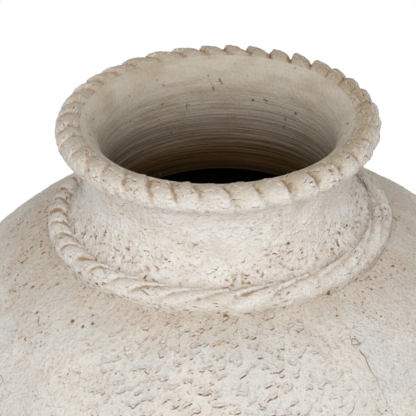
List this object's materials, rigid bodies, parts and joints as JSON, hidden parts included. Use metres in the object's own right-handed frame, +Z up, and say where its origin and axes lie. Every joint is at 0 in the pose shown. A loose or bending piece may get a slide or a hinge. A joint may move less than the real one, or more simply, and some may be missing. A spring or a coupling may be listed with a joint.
{
  "type": "pithos storage jar",
  "caption": "Large whitewashed terracotta storage jar with a swelling shoulder, short waisted neck, flared lip and twisted rope bands round its neck joint and rim.",
  "frame": {"origin": "middle of the foot's flat underside", "axes": "+Z up along the jar's axis, -Y towards the picture's camera"},
  "size_m": [0.72, 0.72, 0.8799],
  "materials": {
    "whitewashed_terracotta": "matte limewash, pitted",
    "rope_band_clay": "matte limewash",
    "smoothed_clay_lip": "matte, wiped smooth",
    "bare_terracotta": "matte, worn wash"
  },
  "bodies": {
    "root": {"base_slab": "bare_terracotta", "foot_drum": "whitewashed_terracotta", "lower_drum": "whitewashed_terracotta", "belly_drum": "whitewashed_terracotta", "upper_drum": "whitewashed_terracotta", "shoulder_drum": "whitewashed_terracotta", "neck_collar": "whitewashed_terracotta", "rim_lip": "smoothed_clay_lip", "neck_rope": "rope_band_clay", "rim_rope": "rope_band_clay"}
  },
  "joints": []
}
